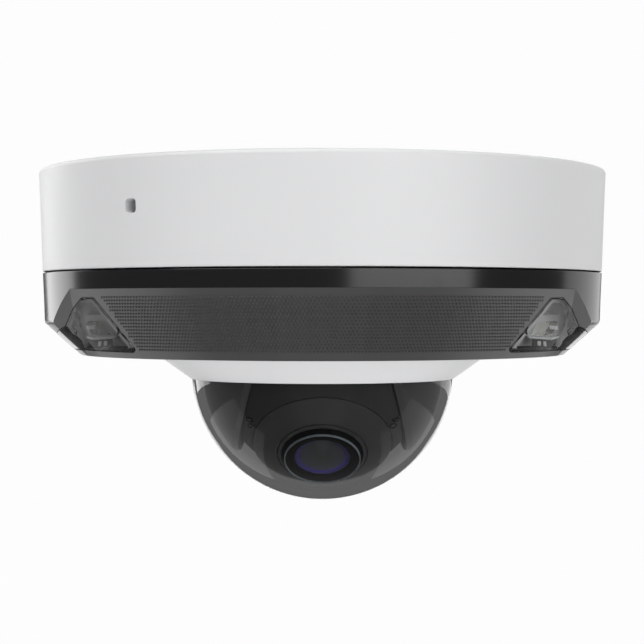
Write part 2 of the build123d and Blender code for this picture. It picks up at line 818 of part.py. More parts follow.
def make_lens_barrel():
    ring_back = lens_front - lens_ring_height
    bore = lens_glass_radius - lens_bore_wall
    outline = (
        (bore, lens_back),
        (lens_thread_radius, lens_back),
        (lens_thread_radius, ring_back - 4.0),
        (lens_ring_radius - 0.4, ring_back - 3.4),
        (lens_ring_radius - 0.4, ring_back),
        (lens_ring_radius, ring_back + 0.3),
        (lens_ring_radius, lens_front - 0.3),
        (lens_ring_radius - 0.4, lens_front),
        (lens_ring_radius - 0.9, lens_front),
        (lens_glass_radius, lens_front - 1.2),
        (lens_glass_radius, lens_front - lens_glass_sink),
        (bore, lens_front - lens_glass_sink - 0.4),
    )
    return lens_plane * turned(outline)


def make_front_glass():
    """Front element: a shallow dome with a flat back."""
    back = lens_front - lens_glass_sink
    curve = (lens_glass_radius ** 2 + lens_glass_crown ** 2) / (2 * lens_glass_crown)
    cap = Pos(0, 0, back + lens_glass_edge + lens_glass_crown - curve) * Sphere(curve)
    rod = Pos(0, 0, back) * Cylinder(lens_glass_radius - glass_fit, lens_glass_sink, align=UP)
    return lens_plane * (cap & rod)


def make_inner_glass():
    """Second element deeper in the barrel."""
    bore = lens_glass_radius - lens_bore_wall - glass_fit
    rod = Pos(0, 0, inner_glass_back) * Cylinder(bore, FAR, align=UP)
    cap = Pos(0, 0, inner_glass_back + inner_glass_length - inner_glass_curve) * Sphere(inner_glass_curve)
    return lens_plane * (rod & cap)


def make_lock_ring():
    """Knurled ring that locks the lens in its holder."""
    outer = lens_thread_radius + 1.6
    bore = Cylinder(lens_thread_radius + glass_fit, lock_ring_height, align=UP)
    tube = Cylinder(outer, lock_ring_height, align=UP) - bore
    notches = Part()
    for i in range(lock_ring_notches):
        x, y = polar(outer, i * 360 / lock_ring_notches)
        notches += Pos(x, y, 0) * Cylinder(0.3, lock_ring_height, align=UP)
    return lens_plane * (Pos(0, 0, holder_top + 0.1) * (tube - notches))


def make_lens_holder():
    outer = lens_thread_radius + holder_wall
    tube = Pos(0, 0, holder_bottom) * Cylinder(outer, holder_top - holder_bottom, align=UP)
    base = Pos(0, 0, holder_bottom) * Box(holder_base, holder_base, holder_base_height, align=UP)
    room_size = filter_size + filter_gap
    room_height = filter_rise + filter_height + 0.5
    room = Pos(0, 0, holder_bottom) * Box(room_size, room_size, room_height, align=UP)
    bore = Pos(0, 0, holder_bottom) * Cylinder(lens_thread_radius + glass_fit, FAR, align=UP)
    tube += base
    return lens_plane * (tube - bore - room)


def make_filter():
    """Small switch unit that moves the day filter in front of the sensor."""
    frame = Pos(0, 0, holder_bottom + filter_rise) * Box(filter_size, filter_size, filter_height, align=UP)
    frame -= Pos(0, 0, holder_bottom) * Box(*filter_window, FAR, align=UP)
    return lens_plane * frame


def make_sensor():
    return lens_plane * (Pos(0, 0, holder_bottom) * Box(sensor_size, sensor_size - 1, sensor_wall, align=UP))


def make_sensor_board():
    board = Pos(0, 0, sensor_board_back) * Box(sensor_board_size, sensor_board_size, board_wall, align=UP)
    corners = board.edges().filter_by(Axis.Z)
    return lens_plane * fillet(corners, 1.5)


def make_sensor_connector():
    return lens_plane * (Pos(0, connector_y, sensor_board_back) * Box(*connector_size, align=DOWN))


# ---------------------------------------------------------------- cover
def cover_screw_spots():
    return [polar(cover_screw_circle, angle) for angle in cover_screw_angles]


def make_cover_shell():
    shell = cover_form() - cover_form(cover_wall)
    shell -= disc(collar_neck_radius, cover_floor, cover_bottom)
    for x, y in cover_screw_spots():
        boss_top = chassis_boss_bottom - moving_gap
        shell += disc(cover_boss_radius, boss_top, cover_bottom, x, y) & cover_form()
        shell -= disc(screw_radius + 0.2, boss_top, cover_bottom, x, y)
        shell -= disc(screw_head_radius + 0.2, cover_bottom + head_pocket_depth, cover_bottom, x, y)
    for angle in clamp_screw_angles:
        x, y = polar(clamp_screw_circle, angle)
        shell += disc(clamp_post_radius, dome_flange_top, cover_floor, x, y)
        shell -= disc(small_screw_radius, dome_flange_top, cover_floor, x, y)
    hole = window_prism(0)
    return shell - hole - mirror(hole, Plane.YZ)


def make_window():
    skin = cover_form() - cover_form(window_wall)
    return skin & window_prism(-seat_gap)


def behind_window(depth):
    """Half space in front of the tray's floor, at a depth behind the window."""
    facing = Vector(*window_facing).normalized()
    spot = Vector(*window_centre) - facing * depth
    return Plane(origin=spot, z_dir=facing) * Box(FAR, FAR, FAR, align=UP)


def make_tray():
    """Pocket behind a window that holds the lamps."""
    outer = cover_form(cover_wall) & window_prism(tray_wall) & behind_window(tray_depth)
    inner = window_prism(-seat_gap - tray_wall / 2) & behind_window(tray_depth - tray_wall)
    return outer - inner


def lamp_plane():
    facing = Vector(*window_facing).normalized()
    spot = Vector(*window_centre) - facing * (tray_depth - tray_wall)
    across = Vector(-facing.Y, facing.X, 0).normalized()
    floor = Plane(origin=spot, x_dir=across, z_dir=facing)
    return floor * Pos(*led_shift, 0)


def make_lamp_board():
    board = Box(led_board_size, led_board_size * 0.8, led_board_wall, align=UP)
    return lamp_plane() * fillet(board.edges().filter_by(Axis.Z), 0.8)


def make_lamps():
    lamps = []
    for step in (-0.5, 0.5):
        x = step * led_pitch
        base = Pos(x, 0, led_board_wall) * Box(led_size, led_size, led_height * 0.6, align=UP)
        lens = Sphere(led_height) & Box(led_size, led_size, led_size, align=UP)
        lens = Pos(x, 0, led_board_wall) * lens
        lamps.append(lamp_plane() * (base + lens))
    return group([part for lamp in lamps for part in (lamp, mirror(lamp, Plane.YZ))])


# ---------------------------------------------------------------- dome and its trim
def make_dome():
    """Clear half ball with a short upright neck and a flange."""
    half = Pos(0, 0, ball_z) * (Sphere(dome_radius) - Sphere(dome_inside))
    half &= block((-FAR, -FAR, -FAR), (FAR, FAR, ball_z))
    neck = ring(dome_radius, dome_inside, dome_flange_top, ball_z)
    flange = ring(dome_flange_radius, dome_inside, dome_flange_top, dome_seal_top)
    for angle in clamp_screw_angles:
        x, y = polar(clamp_screw_circle, angle)
        flange -= disc(clamp_post_radius + clamp_post_gap, dome_flange_top, dome_seal_top, x, y)
    return half + neck + flange


def make_collar():
    """White cone-shaped trim ring around the bubble."""
    inner = dome_radius + seat_gap
    tip = cover_bottom - collar_drop
    outline = (
        (collar_radius, cover_bottom),
        (inner, tip),
        (inner, tip + collar_wall),
        (collar_neck_radius - collar_wall, cover_bottom + 0.2),
        (collar_neck_radius - collar_wall, cover_floor),
        (collar_neck_radius, cover_floor),
        (collar_neck_radius, cover_bottom),
    )
    return turned(outline)


def make_dome_seal():
    seal = ring(dome_flange_radius - 0.6, collar_neck_radius + moving_gap, dome_seal_top, cover_floor)
    return seal - clamp_bosses()


def clamp_bosses():
    bosses = Part()
    for angle in clamp_screw_angles:
        x, y = polar(clamp_screw_circle, angle)
        bosses += disc(clamp_post_radius + clamp_post_gap, dome_flange_top, cover_floor, x, y)
    return bosses


def make_clamp():
    clamp = ring(clamp_radius, dome_radius + 1.0, clamp_top, dome_flange_top)
    for angle in clamp_screw_angles:
        x, y = polar(clamp_screw_circle, angle)
        clamp += disc(clamp_lug_radius, clamp_top, dome_flange_top, x, y)
        clamp -= disc(small_screw_radius, clamp_top, dome_flange_top, x, y)
    return clamp


def make_clamp_screws():
    """Screws that point down through the clamp into the cover."""
    screws = []
    for angle in clamp_screw_angles:
        x, y = polar(clamp_screw_circle, angle)
        body = disc(small_screw_radius, clamp_top, cover_floor, x, y)
        head = disc(small_head_radius, clamp_top + small_head_height * 0.6, clamp_top, x, y)
        screws.append(body + head)
    return group(screws)


def make_cover_screw(spot):
    seat = cover_bottom + head_pocket_depth
    return screw(screw_radius, screw_head_radius, screw_head_height, seat, cover_screw_top, *spot)


# ---------------------------------------------------------------- write every node
save(make_mounting_plate(), "mounting_plate")

save(make_drum_housing(), "drum_housing")
save(make_grommet(), "cable_grommet")
save(ring(gasket_outer, gasket_inner, gasket_top, drum_bottom), "body_gasket")
save(make_mic_boot(), "microphone_boot")
save(make_microphone(), "microphone")
save(make_main_board(), "main_board")
save(make_board_screws(), "board_screws")
save(make_network_jack(), "network_jack")
save(make_processor(), "processor_chip")
save(make_heat_sink(), "heat_sink")
save(make_board_chips(), "board_chips")
save(make_power_parts(), "power_parts")
save(make_card_slot(), "card_slot")
save(make_card(), "memory_card")
save(make_reset_switch(), "reset_switch")
save(make_reset_button(), "reset_button")
save(make_chassis(), "chassis_frame")
save(make_chassis_screws(), "chassis_screws")
save(make_friction_washer(), "pan_friction_washer")
save(make_retainer(), "pan_retaining_ring")
save(make_retainer_screws(), "retaining_ring_screws")

save(make_yoke(), "yoke_frame")
right_ear = make_right_ear()
save(right_ear, "right_ear")
save(mirror(right_ear, Plane.YZ), "left_ear")
save(make_pins(), "tilt_pins")
save(make_pin_washers(), "tilt_washers")

ball = ball_shell() + screw_posts() - make_ball_screws() - ball_cable_exit()
save(ball & front_half(), "ball_front_shell")
save(ball - front_half(), "ball_rear_shell")
save(make_ball_screws(), "ball_screws")

save(make_bezel(), "lens_bezel")
save(make_lens_barrel(), "lens_barrel")
save(make_front_glass(), "lens_front_glass")
save(make_inner_glass(), "lens_inner_glass")
save(make_lock_ring(), "lens_lock_ring")
save(make_lens_holder(), "lens_holder")
save(make_roll_ring(), "roll_friction_ring")
save(make_filter(), "filter_switch")
save(make_sensor(), "image_sensor")
save(make_sensor_board(), "sensor_board")
save(make_sensor_connector(), "sensor_connector")

save(make_cover_shell(), "cover_shell")
save(make_collar(), "collar_ring")
save(make_dome(), "dome_bubble")
save(make_dome_seal(), "dome_gasket")
save(make_clamp(), "dome_clamp_ring")
save(make_clamp_screws(), "clamp_screws")
right_window = make_window()
save(right_window, "ir_window_right")
save(mirror(right_window, Plane.YZ), "ir_window_left")
right_tray = make_tray()
save(right_tray, "ir_tray_right")
save(mirror(right_tray, Plane.YZ), "ir_tray_left")
right_lamp_board = make_lamp_board()
save(right_lamp_board, "ir_board_right")
save(mirror(right_lamp_board, Plane.YZ), "ir_board_left")
save(make_lamps(), "ir_lamps")
for number, spot in enumerate(cover_screw_spots(), 1):
    save(make_cover_screw(spot), f"cover_screw_{number}")
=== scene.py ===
"""Looks for a ceiling dome camera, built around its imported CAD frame.

Metres, in the frame's own axes: the origin is the centre of the ceiling face, +Z is up and -Y is the front.
"""
import json
import math

import bpy
from bpy.props import FloatProperty, FloatVectorProperty, PointerProperty
from mathutils import Matrix, Vector


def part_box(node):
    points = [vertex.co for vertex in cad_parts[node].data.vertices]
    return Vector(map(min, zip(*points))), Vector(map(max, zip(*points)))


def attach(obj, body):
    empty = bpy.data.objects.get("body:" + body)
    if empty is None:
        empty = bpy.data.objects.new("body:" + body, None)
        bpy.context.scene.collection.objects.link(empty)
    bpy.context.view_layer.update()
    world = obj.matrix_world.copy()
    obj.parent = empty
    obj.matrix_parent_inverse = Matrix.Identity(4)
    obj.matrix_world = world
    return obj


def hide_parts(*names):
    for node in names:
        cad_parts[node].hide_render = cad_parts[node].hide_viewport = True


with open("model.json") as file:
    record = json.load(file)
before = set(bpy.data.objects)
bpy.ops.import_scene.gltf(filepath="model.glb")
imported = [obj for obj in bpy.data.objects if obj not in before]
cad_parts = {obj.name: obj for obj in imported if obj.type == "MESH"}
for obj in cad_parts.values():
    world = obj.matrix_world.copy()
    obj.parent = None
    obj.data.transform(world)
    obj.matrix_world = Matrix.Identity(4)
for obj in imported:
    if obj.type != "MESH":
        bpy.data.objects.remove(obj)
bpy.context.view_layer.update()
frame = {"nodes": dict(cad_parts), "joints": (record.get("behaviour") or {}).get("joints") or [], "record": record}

bl_info = {
    "name": "Ceiling dome camera",
    "version": (1, 0, 0),
    "blender": (4, 5, 0),
    "location": "View3D > Sidebar > Dome camera",
    "description": "Builds the finishes and fine pieces of a ceiling dome camera around its CAD frame",
    "category": "Object",
}

MM = 0.001
JOINTS = {joint["name"]: joint for joint in frame["joints"]}
EYE_CENTRE = Vector(JOINTS["tilt"]["pos_m"])
LENS_AXIS = Vector(JOINTS["lens_roll"]["axis"]).normalized()
LENS_TURN = Vector((0, 0, 1)).rotation_difference(LENS_AXIS).to_matrix().to_4x4()
LENS_FRAME = Matrix.Translation(EYE_CENTRE) @ LENS_TURN
COVER_LOW, COVER_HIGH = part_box("cover_shell")


def along_lens(node):
    """Lowest and highest place of a node along the lens axis, and its largest distance from the axis."""
    offsets = [vertex.co - EYE_CENTRE for vertex in frame["nodes"][node].data.vertices]
    heights = [offset.dot(LENS_AXIS) for offset in offsets]
    radius = max((offset - offset.dot(LENS_AXIS) * LENS_AXIS).length for offset in offsets)
    return min(heights), max(heights), radius


LENS_BACK, LENS_FRONT, LENS_RADIUS = along_lens("lens_barrel")
BALL_RADIUS = max((v.co - EYE_CENTRE).length for v in frame["nodes"]["ball_front_shell"].data.vertices)


# ------------------------------------------------------------------ what a user may change
class FaceSettings(bpy.types.PropertyGroup):
    """The dotted texture on the cover's angled front face."""

    top_drop: FloatProperty(
        name="Face top", description="Drop from the cover's top to the angled face", default=3.0 * MM,
        unit="LENGTH")
    foot_radius: FloatProperty(
        name="Face foot radius", description="Radius of the face at the cover's underside", default=47.0 * MM,
        unit="LENGTH")
    pitch: FloatProperty(
        name="Dot pitch", description="Distance from one dot to the next", default=0.66 * MM, unit="LENGTH")
    dot_size: FloatProperty(
        name="Dot size", description="Width of a dot at its base", default=0.66 * MM, unit="LENGTH")
    dot_height: FloatProperty(
        name="Dot height", description="How far a dot stands off the face", default=0.16 * MM, unit="LENGTH")
    margin: FloatProperty(
        name="Plain margin", description="Plain strip above and below the dots", default=1.7 * MM,
        unit="LENGTH")
    top_angle: FloatProperty(
        name="Top half angle", description="Where the top row ends, from the front",
        default=math.radians(46.6), subtype="ANGLE")
    foot_angle: FloatProperty(
        name="Foot half angle", description="Where the bottom row ends, from the front",
        default=math.radians(42.5), subtype="ANGLE")


class FinishSettings(bpy.types.PropertyGroup):
    """Colours of the main finishes."""

    white: FloatVectorProperty(
        name="White plastic", description="Drum and collar", subtype="COLOR", default=(0.74, 0.745, 0.75))
    dark: FloatVectorProperty(
        name="Dark plastic", description="Cover", subtype="COLOR", default=(0.010, 0.010, 0.0105))
    gimbal: FloatVectorProperty(
        name="Gimbal plastic", description="Eyeball, ears and bezel", subtype="COLOR",
        default=(0.044, 0.044, 0.045))
    board: FloatVectorProperty(
        name="Circuit board", description="Solder mask", subtype="COLOR", default=(0.006, 0.075, 0.035))


class LensSettings(bpy.types.PropertyGroup):
    """The front of the lens."""

    rim_wall: FloatProperty(
        name="Rim wall", description="Width of the lens ring's raised rim", default=0.24 * MM, unit="LENGTH")
    rim_step: FloatProperty(
        name="Rim step", description="Drop from the rim to the dark face inside it", default=0.28 * MM,
        unit="LENGTH")
    glass_radius: FloatProperty(
        name="Glass radius", description="Radius of the front glass", default=5.1 * MM, unit="LENGTH")
    glass_sink: FloatProperty(
        name="Glass sink", description="From the rim down to the edge of the front glass", default=0.6 * MM,
        unit="LENGTH")
    mark_size: FloatProperty(
        name="Mark size", description="Height of the angle marks on the eyeball", default=2.5 * MM,
        unit="LENGTH")
    mark_side: FloatProperty(
        name="Mark side", description="Sideways place of the angle marks on the eyeball", default=13.1 * MM,
        unit="LENGTH")
    mark_drop: FloatProperty(
        name="Mark drop", description="The angle marks' drop below the eyeball's centre", default=9.3 * MM,
        unit="LENGTH")


class WindowSettings(bpy.types.PropertyGroup):
    """The clear windows of the lamps."""

    rounding: FloatProperty(
        name="Rounding", description="Radius on the edges of a window", default=0.3 * MM, unit="LENGTH")


class CameraSettings(bpy.types.PropertyGroup):
    """Every setting of the dome camera."""

    face: PointerProperty(type=FaceSettings, name="Front face", description="Dotted front face")
    lens: PointerProperty(type=LensSettings, name="Lens", description="Front of the lens")
    window: PointerProperty(type=WindowSettings, name="Windows", description="Windows of the lamps")
    finish: PointerProperty(type=FinishSettings, name="Finishes", description="Colours")


def settings():
    return bpy.context.scene.dome_camera


# ------------------------------------------------------------------ modelling helpers
def deselect():
    if bpy.context.mode != "OBJECT":
        bpy.ops.object.mode_set(mode="OBJECT")
    bpy.ops.object.select_all(action="DESELECT")


def pick(obj):
    """Make obj the only selected object, and the active one."""
    deselect()
    obj.select_set(True)
    bpy.context.view_layer.objects.active = obj
    return obj


def edit(obj, select="SELECT"):
    pick(obj)
    bpy.ops.object.mode_set(mode="EDIT")
    bpy.ops.mesh.select_mode(type="VERT")
    bpy.ops.mesh.select_all(action=select)


def leave_edit():
    bpy.ops.object.mode_set(mode="OBJECT")


def named(name):
    """Name the object that an operator has just added."""
    obj = bpy.context.active_object
    obj.name = name
    obj.data.name = name
    return obj


def apply_place(obj):
    """Put the object's place into its mesh, so that it sits at the origin, unturned."""
    pick(obj)
    bpy.ops.object.transform_apply(location=True, rotation=True, scale=True)
    return obj


def lathe(name, outline, steps=128, closed=True, frame_matrix=None):
    """Turn an outline of (radius, height) points about Z: a ring is added, then extruded from point to point.

    A closed outline joins its last ring to its first; an open one starts and ends at a pole.
    """
    radius, height = outline[0]
    deselect()
    bpy.ops.mesh.primitive_circle_add(vertices=steps, radius=radius, location=(0, 0, height))
    obj = apply_place(named(name))
    edit(obj)
    for (r0, z0), (r1, z1) in zip(outline, outline[1:]):
        bpy.ops.mesh.extrude_edges_move()
        bpy.ops.transform.resize(value=(r1 / r0, r1 / r0, 1), center_override=(0, 0, z0))
        bpy.ops.transform.translate(value=(0, 0, z1 - z0))
    bpy.ops.mesh.select_all(action="DESELECT")
    bpy.ops.mesh.select_non_manifold()
    if closed:
        bpy.ops.mesh.bridge_edge_loops()
    else:
        bpy.ops.mesh.merge(type="COLLAPSE")
    bpy.ops.mesh.select_all(action="SELECT")
    bpy.ops.mesh.remove_doubles(threshold=1e-7)
    bpy.ops.mesh.normals_make_consistent(inside=False)
    leave_edit()
    if frame_matrix is not None:
        obj.data.transform(frame_matrix)
    return obj


def arc(centre_r, centre_z, radius, start, end, count):
    """Points of an arc in the (radius, height) plane, angles in degrees from the outward direction."""
    points = []
    for i in range(count + 1):
        angle = math.radians(start + (end - start) * i / count)
        points.append((centre_r + radius * math.cos(angle), centre_z + radius * math.sin(angle)))
    return points


def bevelled(obj, width, segments=2, angle=30.0):
    """Round the obj's sharp edges with a modifier and apply it."""
    pick(obj)
    mod = obj.modifiers.new("rounding", "BEVEL")
    mod.width = width
    mod.segments = segments
    mod.limit_method = "ANGLE"
    mod.angle_limit = math.radians(angle)
    bpy.ops.object.modifier_apply(modifier=mod.name)
    return obj


def smooth(obj, angle=35.0):
    pick(obj)
    bpy.ops.object.shade_smooth_by_angle(angle=math.radians(angle))
    return obj


def copy_of(node, name):
    """A merged copy of a CAD node's mesh, as the start of a new piece."""
    source = frame["nodes"][node]
    obj = bpy.data.objects.new(name, source.data.copy())
    bpy.context.scene.collection.objects.link(obj)
    obj.data.name = name
    obj.data.materials.clear()
    edit(obj)
    bpy.ops.mesh.customdata_custom_splitnormals_clear()
    bpy.ops.mesh.remove_doubles(threshold=1e-6)
    bpy.ops.mesh.tris_convert_to_quads()
    leave_edit()
    return obj


def join(objects, name):
    """Join finished pieces into one."""
    deselect()
    for obj in objects:
        obj.select_set(True)
    bpy.context.view_layer.objects.active = objects[0]
    if len(objects) > 1:
        bpy.ops.object.join()
    return named(name)


def finish_piece(obj, body, material, slot_name, *nodes):
    """Give a piece its material and body, and hide the CAD nodes that it stands for; slot_name is not used."""
    obj.data.materials.clear()
    obj.data.materials.append(material)
    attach(obj, body)
    if nodes:
        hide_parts(*nodes)
    return obj


# ------------------------------------------------------------------ shared shader groups
def start_group(name, inputs, outputs):
    """A new node group with float inputs and typed outputs."""
    tree = bpy.data.node_groups.new(name, "ShaderNodeTree")
    for label, value in inputs:
        socket = tree.interface.new_socket(label, in_out="INPUT", socket_type="NodeSocketFloat")
        socket.default_value = value
    for label, kind in outputs:
        tree.interface.new_socket(label, in_out="OUTPUT", socket_type=kind)
    return tree, tree.nodes.new("NodeGroupInput"), tree.nodes.new("NodeGroupOutput")


def moulded_skin_group():
    """Fine moulded grain over rounded edges, with a slow mottle for roughness."""
    if "moulded_skin" in bpy.data.node_groups:
        return bpy.data.node_groups["moulded_skin"]
    tree, inside, outside = start_group(
        "moulded_skin",
        (("Grain Scale", 4000.0), ("Grain Depth", 0.00001), ("Edge Radius", 0.0002), ("Mottle Scale", 60.0)),
        (("Normal", "NodeSocketVector"), ("Mottle", "NodeSocketFloat")),
    )
    place = tree.nodes.new("ShaderNodeTexCoord")
    edges = tree.nodes.new("ShaderNodeBevel")
    edges.samples = 4
    grain = tree.nodes.new("ShaderNodeTexNoise")
    grain.inputs["Detail"].default_value = 3.0
    bump = tree.nodes.new("ShaderNodeBump")
    bump.inputs["Strength"].default_value = 1.0
    mottle = tree.nodes.new("ShaderNodeTexNoise")
    mottle.inputs["Detail"].default_value = 5.0
    link = tree.links.new
    link(place.outputs["Object"], grain.inputs["Vector"])
    link(place.outputs["Object"], mottle.inputs["Vector"])
    link(inside.outputs["Grain Scale"], grain.inputs["Scale"])
    link(inside.outputs["Mottle Scale"], mottle.inputs["Scale"])
    link(inside.outputs["Grain Depth"], bump.inputs["Distance"])
    link(inside.outputs["Edge Radius"], edges.inputs["Radius"])
    link(grain.outputs["Fac"], bump.inputs["Height"])
    link(edges.outputs["Normal"], bump.inputs["Normal"])
    link(bump.outputs["Normal"], outside.inputs["Normal"])
    link(mottle.outputs["Fac"], outside.inputs["Mottle"])
    return tree


def turned_grain_group():
    """Fine lines left by a tool or a brush, stretched along one axis."""
    if "turned_grain" in bpy.data.node_groups:
        return bpy.data.node_groups["turned_grain"]
    tree, inside, outside = start_group(
        "turned_grain",
        (("Line Scale", 900.0), ("Line Depth", 0.00002), ("Edge Radius", 0.0001)),
        (("Normal", "NodeSocketVector"), ("Lines", "NodeSocketFloat")),
    )
    place = tree.nodes.new("ShaderNodeTexCoord")
    stretch = tree.nodes.new("ShaderNodeMapping")
    stretch.inputs["Scale"].default_value = (0.04, 1.0, 1.0)
    lines = tree.nodes.new("ShaderNodeTexNoise")
    lines.inputs["Detail"].default_value = 4.0
    edges = tree.nodes.new("ShaderNodeBevel")
    edges.samples = 4
    bump = tree.nodes.new("ShaderNodeBump")
    link = tree.links.new
    link(place.outputs["Object"], stretch.inputs["Vector"])
    link(stretch.outputs["Vector"], lines.inputs["Vector"])
    link(inside.outputs["Line Scale"], lines.inputs["Scale"])
    link(inside.outputs["Line Depth"], bump.inputs["Distance"])
    link(inside.outputs["Edge Radius"], edges.inputs["Radius"])
    link(lines.outputs["Fac"], bump.inputs["Height"])
    link(edges.outputs["Normal"], bump.inputs["Normal"])
    link(bump.outputs["Normal"], outside.inputs["Normal"])
    link(lines.outputs["Fac"], outside.inputs["Lines"])
    return tree


# ------------------------------------------------------------------ material helpers
def start_material(name):
    """A new node material and its Principled shader."""
    material = bpy.data.materials.new(name)
    material.use_nodes = True
    return material, material.node_tree, material.node_tree.nodes["Principled BSDF"]


def ramp(tree, source, target, low, high):
    """Spread a 0 to 1 value between two values of a socket."""
    span = tree.nodes.new("ShaderNodeMapRange")
    span.inputs["From Min"].default_value = 0.3
    span.inputs["From Max"].default_value = 0.7
    span.inputs["To Min"].default_value = low
    span.inputs["To Max"].default_value = high
    tree.links.new(source, span.inputs["Value"])
    tree.links.new(span.outputs["Result"], target)


def tint(tree, source, target, colour, spread):
    """Vary a colour a little with a 0 to 1 value."""
    blend = tree.nodes.new("ShaderNodeMix")
    blend.data_type = "RGBA"
    blend.inputs["A"].default_value = (*[c * (1 - spread) for c in colour], 1)
    blend.inputs["B"].default_value = (*[min(1.0, c * (1 + spread)) for c in colour], 1)
    tree.links.new(source, blend.inputs["Factor"])
    tree.links.new(blend.outputs["Result"], target)


def moulded(name, colour, rough, grain_scale=4000.0, grain_depth=0.004 * MM, edge=0.2 * MM, spread=0.03,
            metallic=0.0, reflects=0.5):
    """Moulded plastic, rubber or cast metal: low and high roughness, grain and rounded edges."""
    material, tree, shader = start_material(name)
    skin = tree.nodes.new("ShaderNodeGroup")
    skin.node_tree = moulded_skin_group()
    skin.inputs["Grain Scale"].default_value = grain_scale
    skin.inputs["Grain Depth"].default_value = grain_depth
    skin.inputs["Edge Radius"].default_value = edge
    shader.inputs["Metallic"].default_value = metallic
    shader.inputs["Specular IOR Level"].default_value = reflects
    ramp(tree, skin.outputs["Mottle"], shader.inputs["Roughness"], *rough)
    tint(tree, skin.outputs["Mottle"], shader.inputs["Base Color"], colour, spread)
    tree.links.new(skin.outputs["Normal"], shader.inputs["Normal"])
    return material


def machined(name, colour, rough, line_scale=900.0, line_depth=0.003 * MM, edge=0.1 * MM, spread=0.06,
             metallic=1.0):
    """Rolled, turned or brushed metal."""
    material, tree, shader = start_material(name)
    grain = tree.nodes.new("ShaderNodeGroup")
    grain.node_tree = turned_grain_group()
    grain.inputs["Line Scale"].default_value = line_scale
    grain.inputs["Line Depth"].default_value = line_depth
    grain.inputs["Edge Radius"].default_value = edge
    shader.inputs["Metallic"].default_value = metallic
    ramp(tree, grain.outputs["Lines"], shader.inputs["Roughness"], *rough)
    tint(tree, grain.outputs["Lines"], shader.inputs["Base Color"], colour, spread)
    tree.links.new(grain.outputs["Normal"], shader.inputs["Normal"])
    return material


def clear(name, colour, rough, ior, mirror=1.0):
    """Clear plastic or glass; light reaches what is behind it unbent and undimmed."""
    material, tree, shader = start_material(name)
    skin = tree.nodes.new("ShaderNodeGroup")
    skin.node_tree = moulded_skin_group()
    skin.inputs["Grain Scale"].default_value = 300.0
    skin.inputs["Grain Depth"].default_value = 0.0005 * MM
    skin.inputs["Edge Radius"].default_value = 0.1 * MM
    shader.inputs["Transmission Weight"].default_value = 1.0
    shader.inputs["IOR"].default_value = ior
    shader.inputs["Base Color"].default_value = (*colour, 1)
    ramp(tree, skin.outputs["Mottle"], shader.inputs["Roughness"], *rough)
    shader.inputs["Specular Tint"].default_value = (mirror, mirror, mirror, 1)
    through = tree.nodes.new("ShaderNodeBsdfTransparent")
    through.inputs["Color"].default_value = (1, 1, 1, 1)
    path = tree.nodes.new("ShaderNodeLightPath")
    pick_one = tree.nodes.new("ShaderNodeMixShader")
    link = tree.links.new
    link(path.outputs["Is Shadow Ray"], pick_one.inputs["Fac"])
    link(shader.outputs["BSDF"], pick_one.inputs[1])
    link(through.outputs["BSDF"], pick_one.inputs[2])
    link(pick_one.outputs["Shader"], tree.nodes["Material Output"].inputs["Surface"])
    return material


# ------------------------------------------------------------------ this camera's finishes
FINISHES = {}
# Painted light: a lighter dark grey that stands in for the floor light reflected by the down-facing front face and
# its dots.
FLOOR_LIT_DARK = (0.054, 0.054, 0.055)


def finish(name, make, *args, **options):
    if name not in FINISHES:
        FINISHES[name] = make(name, *args, **options)
    return FINISHES[name]


def white_plastic():
    return finish("white_plastic", moulded, settings().finish.white, (0.38, 0.46), grain_depth=0.002 * MM,
                  edge=0.25 * MM, spread=0.01)


def dark_plastic():
    """Polished side wall, and a satin finish on the faces that point down, painted lighter there in place of the
    floor light they reflect.
    """
    if "dark_plastic" in FINISHES:
        return FINISHES["dark_plastic"]
    material = finish("dark_plastic", moulded, settings().finish.dark, (0.16, 0.2), grain_scale=6000.0,
                      grain_depth=0.0006 * MM, edge=0.25 * MM, spread=0.08)
    tree = material.node_tree
    shader = tree.nodes["Principled BSDF"]
    link = tree.links.new
    surface = tree.nodes.new("ShaderNodeNewGeometry")
    split = tree.nodes.new("ShaderNodeSeparateXYZ")
    downward = tree.nodes.new("ShaderNodeMapRange")
    downward.inputs["From Min"].default_value = -0.12
    downward.inputs["From Max"].default_value = -0.3
    link(surface.outputs["Normal"], split.inputs["Vector"])
    link(split.outputs["Z"], downward.inputs["Value"])
    gloss = shader.inputs["Roughness"].links[0].from_socket
    tone = shader.inputs["Base Color"].links[0].from_socket
    rough = tree.nodes.new("ShaderNodeMix")
    rough.inputs["B"].default_value = 0.36
    # painted light: faces that point down get the lighter base colour in place of reflected floor light
    colour = tree.nodes.new("ShaderNodeMix")
    colour.data_type = "RGBA"
    colour.inputs["B"].default_value = (*FLOOR_LIT_DARK, 1)
    link(downward.outputs["Result"], rough.inputs["Factor"])
    link(gloss, rough.inputs["A"])
    link(rough.outputs["Result"], shader.inputs["Roughness"])
    link(downward.outputs["Result"], colour.inputs["Factor"])
    link(tone, colour.inputs["A"])
    link(colour.outputs["Result"], shader.inputs["Base Color"])
    link(downward.outputs["Result"], shader.inputs["Coat Weight"])
    shader.inputs["Coat Roughness"].default_value = 0.3
    return material


def dot_plastic():
    # painted light: the dots take the same lighter dark grey, standing in for reflected floor light
    return finish("dot_plastic", moulded, FLOOR_LIT_DARK, (0.42, 0.5), grain_scale=6000.0,
                  grain_depth=0.001 * MM, edge=0.03 * MM, spread=0.08)


# Painted shade: a low specular level darkens the eyeball, standing in for the shade under the collar and dome.
def gimbal_plastic():
    return finish("gimbal_plastic", moulded, settings().finish.gimbal, (0.5, 0.58), grain_scale=7000.0,
                  grain_depth=0.0025 * MM, edge=0.2 * MM, spread=0.06, reflects=0.12)


